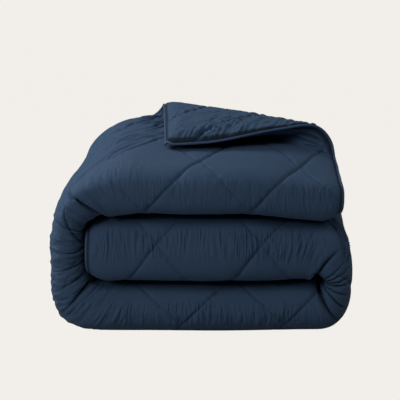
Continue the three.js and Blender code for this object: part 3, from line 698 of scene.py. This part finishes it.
def relief(along, across, face):
    """How far a face stands off its plain loft: seams, puckers and wrinkles, none at the sewn edge."""
    full = np.clip((half_loft(along, across) - EDGE / 2) / (PLY / 2 - EDGE / 2), 0, 1)
    found = outer_relief(along, across) if face > 0 else under_relief(along, across)
    return found * full


PINCH = 0.060
PINCH_SPAN = (RIGHT_IN - 0.025, RIGHT_IN + 0.03), (RIGHT_OUT - 0.045, RIGHT_OUT + 0.02)
PINCH_SHARES = (0.69, 0.93), (1.3, 2.0)


def pinch(along, turn):
    """How far the right fold's inside is drawn back into the hole at its pivot."""
    return PINCH * within(along, *PINCH_SPAN) * within(turn, *PINCH_SHARES)


PROBE = 0.001
SPREAD_LEAST = 0.12
FLOOR_Z = 0.0003


def skin(along, across, face):
    """Points of the finished cloth: its plain loft, moved out by its relief along the normal."""
    along, across = np.broadcast_arrays(np.asarray(along, float), np.asarray(across, float))
    turn = front_share(along, across)

    def bare(f, w):
        return lay(f, w, face * half_loft(f, w))

    def way(f):
        return bare(f + PROBE, across) - bare(f - PROBE, across)

    spread = np.clip(np.linalg.norm(way(along), axis=-1) / (2 * PROBE), SPREAD_LEAST, 1)
    depth, drawn = creased(along, turn, spread) if face > 0 else (0 * along, 0 * along)
    moved = along + drawn
    across_way = bare(moved, across + PROBE) - bare(moved, across - PROBE)
    normal = -face * np.cross(way(moved), across_way)
    normal /= np.maximum(np.linalg.norm(normal, axis=-1, keepdims=True), 1e-12)
    points = bare(moved, across) + normal * (relief(along, across, face) * spread - depth)[..., None]
    if face > 0:
        points[..., 1] += pinch(along, turn)
    points[..., 2] = np.maximum(points[..., 2], FLOOR_Z)
    return points


def stops(*parts):
    """Lengths at which the cloth's lines of points lie: spans of (from, to, spacing)."""
    found = [np.array([parts[0][0]])]
    for low, high, spacing in parts:
        count = max(1, int(round((high - low) / spacing)))
        found.append(np.linspace(low, high, count + 1)[1:])
    return np.concatenate(found)


RIM, RIM_STEP, LINE_STEP = 0.008, 0.002, 0.0016
ALONG = stops((0, RIM, RIM_STEP), (RIM, LENGTH - RIM, LINE_STEP), (LENGTH - RIM, LENGTH, RIM_STEP))
# Blocks of the cloth's length, each with the spacing of lines on its outer ply: closer where that shows.
BLOCKS = ((0, 0.48, 0.020), (0.48, 0.68, 0.005), (0.68, 1.40, 0.020), (1.40, LENGTH + 1, 0.0027))


def lines_across(face, outer):
    """Lengths across the cloth of one face's lines of points, with the outer ply's spacing given."""
    lower_end, back_end, inner_end, fold_end = SECTION_ENDS[3:7]
    near, past = PLY_END - FRONT_FADE, FRONT_END + FRONT_FADE
    shown = [(0, RIM, RIM_STEP), (RIM, near, outer), (near, PLY_END, 0.0034)]
    front = [(PLY_END, FRONT_END, 0.015), (FRONT_END, lower_end, 0.060)]
    if face > 0:
        front = [(PLY_END, FRONT_END, 0.0030), (FRONT_END, past, 0.006), (past, lower_end, 0.060)]
    hidden = [(lower_end, back_end, 0.010), (back_end, inner_end, 0.060), (inner_end, fold_end, 0.010),
              (fold_end, WIDTH - RIM, 0.040), (WIDTH - RIM, WIDTH, RIM_STEP)]
    return stops(*shown, *front, *hidden)


def between(row_a, row_b, lengths_a, lengths_b, turned):
    """Triangles between two rows of points whose lengths are spaced differently."""
    i = j = 0
    found = []
    while i < len(row_a) - 1 or j < len(row_b) - 1:
        step_a = j == len(row_b) - 1 or (i < len(row_a) - 1 and lengths_a[i + 1] < lengths_b[j + 1])
        corner = row_a[i + 1] if step_a else row_b[j + 1]
        face = (row_a[i], corner, row_b[j])
        found.append(face[::-1] if turned else face)
        i, j = (i + 1, j) if step_a else (i, j + 1)
    return found


def cloth_rows():
    """The closed cloth in rows, block by block: its points, faces, lengths and puckering."""
    points, lengths, puckers, faces, rows_before = [], [], [], [], None
    start = 0
    for low, high, outer in BLOCKS:
        along = ALONG[(ALONG >= low) & (ALONG < high)]
        front, back = lines_across(1, outer), lines_across(-1, outer)
        across = np.concatenate([front, back[::-1]])
        outside, inside = skin(along[:, None], front[None, :], 1), skin(along[:, None], back[None, ::-1], -1)
        grid = np.concatenate([outside, inside], axis=1)
        index = start + np.arange(grid.shape[0] * grid.shape[1]).reshape(grid.shape[:2])
        start += index.size
        beside = np.roll(index, -1, axis=1)
        faces += np.stack([index[:-1], beside[:-1], beside[1:], index[1:]], axis=-1).reshape(-1, 4).tolist()
        points.append(grid.reshape(-1, 3))
        smooth = np.zeros((len(along), len(back)))
        puckers.append(np.concatenate([puckering(along[:, None], front[None, :]), smooth], axis=1).ravel())
        lengths.append(np.stack([np.repeat(along, len(across)), np.tile(across, len(along))], axis=1))
        first, count = index[0], len(front)
        if rows_before is None:
            faces += between(first[:count], first[:count - 1:-1], front, back, True)
        else:
            last, last_front, last_back = rows_before
            n = len(last_front)
            faces += between(last[:n], first[:count], last_front, front, False)
            faces += between(last[:n - 1:-1], first[:count - 1:-1], last_back, back, True)
            faces.append((last[n - 1], last[n], first[count], first[count - 1]))
            faces.append((last[-1], last[0], first[0], first[-1]))
        rows_before = index[-1], front, back
    last, front, back = rows_before
    faces += between(last[:len(front)], last[:len(front) - 1:-1], front, back, False)
    return np.concatenate(points), faces, np.concatenate(lengths), np.concatenate(puckers)


HELD_MOST = 0.9
# Span from the edge over which the painted shade of the groove beside the piping fades.
SEWN_EDGE = (0.0030, 0.0070)


def duvet_mesh():
    """The cloth's mesh, with the lengths, rows and places that its material reads."""
    points, faces, lengths, puckers = cloth_rows()
    mesh = bpy.data.meshes.new("duvet_cloth")
    mesh.from_pydata(points.tolist(), [], [[int(v) for v in face] for face in faces])
    mesh.update()
    corners = np.empty(len(mesh.loops), dtype=np.int32)
    mesh.loops.foreach_get("vertex_index", corners)
    along, across = lengths.T
    a, b = seam_rows(along, across)
    rows = np.stack([(a + b) / 2, (a - b) / 2], axis=1)
    for name, values in (("cloth_lengths", lengths), ("seam_rows", rows)):
        layer = mesh.uv_layers.new(name=name)
        layer.data.foreach_set("uv", values[corners].astype(np.float32).ravel())
    # The sewn edge's mask marks where the material paints shade into the groove beside the piping. The held
    # mask marks where the painted seam shade fades.
    sewn_edge = 1 - ease(from_edges(along, across), *SEWN_EDGE)
    held = HELD_MOST * held_flat(along, across)
    for name, values in (("puckers", puckers), ("sewn_edge", sewn_edge), ("held", held)):
        mesh.attributes.new(name, "FLOAT", "POINT").data.foreach_set("value", values.astype(np.float32))
    mesh.shade_smooth()
    return mesh


def link(tree, source, output, target, entry):
    tree.links.new(source.outputs[output], target.inputs[entry])


def reckon(tree, operation, *values):
    """The result of a math node, from numbers and other nodes' sockets."""
    node = tree.nodes.new("ShaderNodeMath")
    node.operation = operation
    for entry, value in zip(node.inputs, values):
        if isinstance(value, (int, float)):
            entry.default_value = value
        else:
            tree.links.new(value, entry)
    return node.outputs[0]


def colour_mix(tree):
    """The sockets of a node that mixes colours: its share, its first and second colour, its result."""
    node = tree.nodes.new("ShaderNodeMix")
    node.data_type = "RGBA"
    return node.inputs[0], node.inputs[6], node.inputs[7], node.outputs[2]


def noise(tree, place, scale, detail):
    node = tree.nodes.new("ShaderNodeTexNoise")
    node.inputs["Scale"].default_value = scale
    node.inputs["Detail"].default_value = detail
    tree.links.new(place, node.inputs["Vector"])
    return node.outputs["Fac"]


NAP_SCALE, NAP_DETAIL = 900, 3
PATCH_SCALE, PATCH_DETAIL, PATCH_SHARE = 22, 4, 0.7
STREAK_SCALE, STREAK_DETAIL = (320.0, 70.0, 1.0), 2
WEAVE_HEIGHT, STREAK_HEIGHT, STREAK_ON_PUCKERS = 0.25, 0.6, 3.3  # beside the nap's height of 1
ROUGHNESS_LEAST, ROUGHNESS_SPREAD = 0.80, 0.12


def brushed_cloth_group():
    """Weave, nap and uneven dye of a brushed cloth, from lengths along and across it."""
    group = bpy.data.node_groups.new("brushed_cloth", "ShaderNodeTree")
    for name, kind, way in (
            ("Lengths", "NodeSocketVector", "INPUT"), ("Dye", "NodeSocketColor", "INPUT"),
            ("Worn Dye", "NodeSocketColor", "INPUT"), ("Thread Pitch", "NodeSocketFloat", "INPUT"),
            ("Puckers", "NodeSocketFloat", "INPUT"), ("Color", "NodeSocketColor", "OUTPUT"),
            ("Height", "NodeSocketFloat", "OUTPUT"), ("Roughness", "NodeSocketFloat", "OUTPUT")):
        group.interface.new_socket(name=name, in_out=way, socket_type=kind)
    nodes = group.nodes
    entry, leave = nodes.new("NodeGroupInput"), nodes.new("NodeGroupOutput")
    lengths = entry.outputs["Lengths"]
    split = nodes.new("ShaderNodeSeparateXYZ")
    group.links.new(lengths, split.inputs["Vector"])
    threads = []
    for axis in ("X", "Y"):
        count = reckon(group, "DIVIDE", split.outputs[axis], entry.outputs["Thread Pitch"])
        threads.append(reckon(group, "SINE", reckon(group, "MULTIPLY", count, 2 * np.pi)))
    weave = reckon(group, "MULTIPLY", *threads)
    drawn_out = nodes.new("ShaderNodeMapping")
    drawn_out.inputs["Scale"].default_value = STREAK_SCALE
    group.links.new(lengths, drawn_out.inputs["Vector"])
    nap = noise(group, lengths, NAP_SCALE, NAP_DETAIL)
    patches = noise(group, lengths, PATCH_SCALE, PATCH_DETAIL)
    streaks = noise(group, drawn_out.outputs["Vector"], 1, STREAK_DETAIL)
    gathers = reckon(group, "MULTIPLY_ADD", entry.outputs["Puckers"], STREAK_ON_PUCKERS, STREAK_HEIGHT)
    height = reckon(group, "MULTIPLY_ADD", weave, WEAVE_HEIGHT, nap)
    height = reckon(group, "MULTIPLY_ADD", streaks, gathers, height)
    worn = reckon(group, "MULTIPLY", nap, 1 - PATCH_SHARE)
    worn = reckon(group, "MULTIPLY_ADD", patches, PATCH_SHARE, worn)
    roughness = reckon(group, "MULTIPLY_ADD", nap, ROUGHNESS_SPREAD, ROUGHNESS_LEAST)
    share, dye, worn_dye, shade = colour_mix(group)
    for source, target in ((worn, share), (entry.outputs["Dye"], dye), (entry.outputs["Worn Dye"], worn_dye),
                           (shade, leave.inputs["Color"]), (height, leave.inputs["Height"]),
                           (roughness, leave.inputs["Roughness"])):
        group.links.new(source, target)
    return group


BRUSHED_CLOTH = brushed_cloth_group()
BUMP_DISTANCE = 0.0006


def cloth_material(name, dye, worn_dye, thread_pitch, bump, sheen):
    material = bpy.data.materials.new(name)
    material.use_nodes = True
    tree = material.node_tree
    shader = tree.nodes["Principled BSDF"]
    lengths = tree.nodes.new("ShaderNodeUVMap")
    lengths.uv_map = "cloth_lengths"
    weave = tree.nodes.new("ShaderNodeGroup")
    weave.node_tree = BRUSHED_CLOTH
    weave.inputs["Dye"].default_value = (*dye, 1)
    weave.inputs["Worn Dye"].default_value = (*worn_dye, 1)
    weave.inputs["Thread Pitch"].default_value = thread_pitch
    raised = tree.nodes.new("ShaderNodeBump")
    raised.inputs["Strength"].default_value = bump
    raised.inputs["Distance"].default_value = BUMP_DISTANCE
    puckers = tree.nodes.new("ShaderNodeAttribute")
    puckers.attribute_name = "puckers"
    link(tree, lengths, "UV", weave, "Lengths")
    link(tree, puckers, "Fac", weave, "Puckers")
    link(tree, weave, "Height", raised, "Height")
    link(tree, raised, "Normal", shader, "Normal")
    link(tree, weave, "Color", shader, "Base Color")
    link(tree, weave, "Roughness", shader, "Roughness")
    shader.inputs["Specular IOR Level"].default_value = 0.25
    shader.inputs["Sheen Weight"].default_value = sheen
    shader.inputs["Sheen Roughness"].default_value = 0.45
    shader.inputs["Sheen Tint"].default_value = (0.55, 0.72, 1.0, 1)
    return material


# Strengths of the painted shade in the grooves of the two families of seams.
SEAM_STRENGTHS = (("X", 1.0), ("Y", 0.5))  # of the two families of seams
SEAM_SHADE, EDGE_SHADE, SEAM_SINK = 0.35, 0.9, 2.5


def shade_and_sink_seams(material, groove_shade_colour, line_width):
    """Paints shade into the cloth's colour where the stitching draws its seams and edge into grooves, and
    sinks the seams in its bump.
    """
    tree = material.node_tree
    shader = tree.nodes["Principled BSDF"]
    rows = tree.nodes.new("ShaderNodeUVMap")
    rows.uv_map = "seam_rows"
    split = tree.nodes.new("ShaderNodeSeparateXYZ")
    link(tree, rows, "UV", split, "Vector")
    held, edge = (tree.nodes.new("ShaderNodeAttribute") for _ in range(2))
    held.attribute_name, edge.attribute_name = "held", "sewn_edge"
    widths = float(DIAMOND / np.sqrt(2) / line_width)
    lines = []
    for axis, strength in SEAM_STRENGTHS:
        reach = reckon(tree, "MULTIPLY", reckon(tree, "PINGPONG", split.outputs[axis], 0.5), widths)
        fall = reckon(tree, "MULTIPLY", reckon(tree, "MULTIPLY", reach, reach), -1.0)
        lines.append(reckon(tree, "MULTIPLY", reckon(tree, "EXPONENT", fall), strength))
    free = reckon(tree, "SUBTRACT", 1.0, held.outputs["Fac"])
    line = reckon(tree, "MULTIPLY", reckon(tree, "MAXIMUM", *lines), free)
    # Painted shade: the seam grooves and the groove at the edge beside the piping are darkened towards the
    # shade colour.
    line_shade = reckon(tree, "MULTIPLY", line, SEAM_SHADE)
    edge_shade = reckon(tree, "MULTIPLY", edge.outputs["Fac"], EDGE_SHADE)
    share, cloth, groove_shade, shade = colour_mix(tree)
    groove_shade.default_value = (*groove_shade_colour, 1)
    tree.links.new(reckon(tree, "MAXIMUM", line_shade, edge_shade), share)
    tree.links.new(shader.inputs["Base Color"].links[0].from_socket, cloth)
    tree.links.new(shade, shader.inputs["Base Color"])
    raised = shader.inputs["Normal"].links[0].from_node
    height = raised.inputs["Height"].links[0].from_socket
    sunk = reckon(tree, "SUBTRACT", height, reckon(tree, "MULTIPLY", line, SEAM_SINK))
    tree.links.new(sunk, raised.inputs["Height"])


# The darkest navy is painted shade, laid into the cloth's colour along its seam grooves and in the groove
# beside the piping.
NAVY, WORN_NAVY, GROOVE_SHADE_NAVY = (0.0378, 0.0765, 0.146), (0.049, 0.094, 0.171), (0.010, 0.019, 0.036)
SEAM_LINE = 0.0014
CLOTH_THREAD, CLOTH_BUMP, CLOTH_SHEEN = 0.0012, 0.5, 0.04
NAVY_CLOTH = cloth_material("navy_microfibre", NAVY, WORN_NAVY, CLOTH_THREAD, CLOTH_BUMP, CLOTH_SHEEN)
shade_and_sink_seams(NAVY_CLOTH, GROOVE_SHADE_NAVY, SEAM_LINE)
duvet = bpy.data.objects.new("quilted_duvet", duvet_mesh())
bpy.context.collection.objects.link(duvet)
duvet.data.materials.append(NAVY_CLOTH)
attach(duvet, "root")
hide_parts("duvet")

# The piping
# A thin cord covered with the same cloth, sewn between the two cloths all round the duvet's edge,
# so that it stands just outside the sewn edge and goes round every fold with it.
CORD_STEP, CORD_SIDES = 0.006, 10
CORD_RADIUS = PIPING / 2 + 0.0002
SEWN_IN = 0.001  # how far the cord sits between the two cloths
CORD_PROBE = 0.0005


def piping_path():
    """Points of the cord's middle line, corner and side in turn, moved out of the sewn edge."""
    sides = stops((CORNER_RIM, LENGTH - CORNER_RIM, CORD_STEP))
    ends = stops((CORNER_RIM, WIDTH - CORNER_RIM, CORD_STEP))
    # Each run has its lengths along and across, and the way out of the cloth along and across.
    runs = ((0, 0, -1, -1), (sides, 0, 0, -1), (LENGTH, 0, 1, -1), (LENGTH, ends, 1, 0),
            (LENGTH, WIDTH, 1, 1), (sides[::-1], WIDTH, 0, 1), (0, WIDTH, -1, 1), (0, ends[::-1], -1, 0))
    runs = [np.stack(np.broadcast_arrays(*(np.atleast_1d(v).astype(float) for v in run))) for run in runs]
    along, across, out_along, out_across = np.concatenate(runs, axis=1)
    level = np.zeros_like(along)
    beyond = lay(along + CORD_PROBE * out_along, across + CORD_PROBE * out_across, level)
    outward = beyond - lay(along - CORD_PROBE * out_along, across - CORD_PROBE * out_across, level)
    outward /= np.linalg.norm(outward, axis=-1, keepdims=True)
    offset = (PIPING / 2 - SEWN_IN) * np.hypot(out_along, out_across)
    return lay(along, across, level) + outward * offset[:, None]


def cord_sweep_tree():
    """Sweeps a round cord along a closed path of points."""
    tree = bpy.data.node_groups.new("sewn_cord", "GeometryNodeTree")
    tree.interface.new_socket(name="Geometry", in_out="INPUT", socket_type="NodeSocketGeometry")
    tree.interface.new_socket(name="Cord Radius", in_out="INPUT", socket_type="NodeSocketFloat")
    tree.interface.new_socket(name="Sides", in_out="INPUT", socket_type="NodeSocketInt")
    tree.interface.new_socket(name="Cloth", in_out="INPUT", socket_type="NodeSocketMaterial")
    tree.interface.new_socket(name="Geometry", in_out="OUTPUT", socket_type="NodeSocketGeometry")
    nodes = tree.nodes
    entry, leave = nodes.new("NodeGroupInput"), nodes.new("NodeGroupOutput")
    curve, sweep = nodes.new("GeometryNodeMeshToCurve"), nodes.new("GeometryNodeCurveToMesh")
    profile = nodes.new("GeometryNodeCurvePrimitiveCircle")
    realize = nodes.new("GeometryNodeRealizeInstances")
    smooth, dress = nodes.new("GeometryNodeSetShadeSmooth"), nodes.new("GeometryNodeSetMaterial")
    link(tree, entry, "Geometry", curve, "Mesh")
    link(tree, entry, "Cord Radius", profile, "Radius")
    link(tree, entry, "Sides", profile, "Resolution")
    link(tree, curve, "Curve", sweep, "Curve")
    link(tree, profile, "Curve", sweep, "Profile Curve")
    link(tree, sweep, "Mesh", smooth, "Geometry")
    link(tree, smooth, "Geometry", realize, "Geometry")
    link(tree, realize, "Geometry", dress, "Geometry")
    link(tree, entry, "Cloth", dress, "Material")
    link(tree, dress, "Geometry", leave, "Geometry")
    return tree


def run_tree(name, mesh, tree, values):
    """A piece with the plain mesh that a node tree makes from a mesh, its inputs given by name."""
    piece = bpy.data.objects.new(name, mesh)
    bpy.context.collection.objects.link(piece)
    modifier = piece.modifiers.new("made", "NODES")
    modifier.node_group = tree
    for item in tree.interface.items_tree:
        if item.in_out == "INPUT" and item.name in values:
            modifier[item.identifier] = values[item.name]
    bpy.context.view_layer.update()
    made = bpy.data.meshes.new_from_object(piece.evaluated_get(bpy.context.evaluated_depsgraph_get()))
    piece.modifiers.remove(modifier)
    piece.data = made
    made.name = name
    return piece


path = piping_path()
cord_line = bpy.data.meshes.new("piping_line")
cord_line.from_pydata(path.tolist(), [(i, (i + 1) % len(path)) for i in range(len(path))], [])
CORD_NAVY, WORN_CORD_NAVY = (0.042, 0.084, 0.160), (0.054, 0.102, 0.186)
CORD_THREAD, CORD_BUMP, CORD_SHEEN = 0.0010, 0.4, 0.04
NAVY_CORD = cloth_material("navy_piping_cloth", CORD_NAVY, WORN_CORD_NAVY, CORD_THREAD, CORD_BUMP, CORD_SHEEN)
piping = run_tree("edge_piping", cord_line, cord_sweep_tree(),
                  {"Cord Radius": CORD_RADIUS, "Sides": CORD_SIDES, "Cloth": NAVY_CORD})
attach(piping, "root")
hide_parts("piping")

# The floor
# A plain sweep of cream paper that the duvet stands on, curved up behind it. To the camera it gives
# off its own even cream, as a cut-out studio ground does, with only a trace of the duvet's shadow.
FLOOR_FRONT, FLOOR_BACK, FLOOR_BEND, FLOOR_TOP, FLOOR_HALF = -6.0, 2.2, 1.2, 6.0, 7.0
CREAM = (0.898, 0.872, 0.831, 1)
PAPER, PALE_PAPER = (0.53, 0.52, 0.505, 1), (0.55, 0.54, 0.525, 1)
GRAIN_SCALE, GRAIN_DETAIL = 300, 2
EVEN_LIGHT = 0.985  # share of what the camera sees of the paper that is this even cream


def floor_mesh():
    profile = [(FLOOR_FRONT, 0.0), (FLOOR_BACK, 0.0)]
    profile += [(FLOOR_BACK + FLOOR_BEND * np.sin(a), FLOOR_BEND - FLOOR_BEND * np.cos(a))
                for a in np.radians(np.arange(6, 91, 6))]
    profile += [(FLOOR_BACK + FLOOR_BEND, FLOOR_TOP)]
    points = [(x, y, z) for y, z in profile for x in (-FLOOR_HALF, FLOOR_HALF)]
    faces = [(2 * i, 2 * i + 1, 2 * i + 3, 2 * i + 2) for i in range(len(profile) - 1)]
    mesh = bpy.data.meshes.new("paper_sweep")
    mesh.from_pydata(points, [], faces)
    mesh.shade_smooth()
    return mesh


def paper_material():
    material = bpy.data.materials.new("cream_paper")
    material.use_nodes = True
    tree = material.node_tree
    shader = tree.nodes["Principled BSDF"]
    shader.inputs["Roughness"].default_value = 0.95
    shader.inputs["Specular IOR Level"].default_value = 0.0
    place = tree.nodes.new("ShaderNodeTexCoord").outputs["Object"]
    share, paper, pale, tint = colour_mix(tree)
    paper.default_value, pale.default_value = PAPER, PALE_PAPER
    tree.links.new(noise(tree, place, GRAIN_SCALE, GRAIN_DETAIL), share)
    tree.links.new(tint, shader.inputs["Base Color"])
    even = tree.nodes.new("ShaderNodeEmission")
    even.inputs["Color"].default_value = CREAM
    seen = tree.nodes.new("ShaderNodeLightPath")
    either = tree.nodes.new("ShaderNodeMixShader")
    tree.links.new(reckon(tree, "MULTIPLY", seen.outputs["Is Camera Ray"], EVEN_LIGHT), either.inputs[0])
    link(tree, shader, 0, either, 1)
    link(tree, even, 0, either, 2)
    link(tree, either, 0, tree.nodes["Material Output"], "Surface")
    return material


floor = bpy.data.objects.new("paper_floor", floor_mesh())
bpy.context.collection.objects.link(floor)
floor.data.materials.append(paper_material())

# Light and camera
# A large soft light hangs in front overhead, with smaller ones on both sides, in a dim even room that
# the camera sees as cream as the paper. The camera looks a little down on the duvet's rounded front
# through a long lens.
ROOM_LIGHT = 0.02
LIT = (0, 0, 0.25)
TARGET = np.array([-0.009, 0.0, 0.2395])
CAMERA_DISTANCE, CAMERA_RISE, CAMERA_TURN = 3.5, np.radians(15.4), np.radians(-1.5)
SENSOR, FOCAL_PIXELS, PHOTO_PIXELS = 36.0, 1485, 400
room = bpy.data.worlds.new("room")
room.use_nodes = True
dim = room.node_tree.nodes["Background"]
dim.inputs["Color"].default_value = (1, 1, 1, 1)
dim.inputs["Strength"].default_value = ROOM_LIGHT
backdrop = room.node_tree.nodes.new("ShaderNodeBackground")
backdrop.inputs["Color"].default_value = CREAM
seen = room.node_tree.nodes.new("ShaderNodeLightPath")
either = room.node_tree.nodes.new("ShaderNodeMixShader")
link(room.node_tree, seen, "Is Camera Ray", either, 0)
link(room.node_tree, dim, "Background", either, 1)
link(room.node_tree, backdrop, "Background", either, 2)
link(room.node_tree, either, 0, room.node_tree.nodes["World Output"], "Surface")
bpy.context.scene.world = room
bpy.context.scene.view_settings.view_transform = "Standard"


def soft_light(name, place, size, power):
    lamp = bpy.data.lights.new(name, "AREA")
    lamp.size, lamp.energy = size, power
    light = bpy.data.objects.new(name, lamp)
    light.location = place
    light.rotation_euler = (Vector(LIT) - Vector(place)).to_track_quat("-Z", "Y").to_euler()
    light.visible_camera = False
    bpy.context.collection.objects.link(light)


soft_light("top_light", (0.0, -2.9, 4.5), 2.1, 51)
soft_light("side_light", (-2.2, -2.2, 1.6), 0.8, 19)
soft_light("rim_light", (-1.3, 0.2, 1.4), 0.7, 16.5)
soft_light("right_light", (1.9, 0.4, 1.6), 0.8, 6)

level_way = np.cos(CAMERA_RISE)
ahead = np.array([np.sin(CAMERA_TURN) * level_way, np.cos(CAMERA_TURN) * level_way, -np.sin(CAMERA_RISE)])
lens = bpy.data.cameras.new("camera")
lens.sensor_width, lens.lens = SENSOR, SENSOR * FOCAL_PIXELS / PHOTO_PIXELS
camera = bpy.data.objects.new("camera", lens)
camera.location = TARGET - CAMERA_DISTANCE * ahead
camera.rotation_euler = Vector(ahead).to_track_quat("-Z", "Y").to_euler()
bpy.context.collection.objects.link(camera)
bpy.context.scene.camera = camera
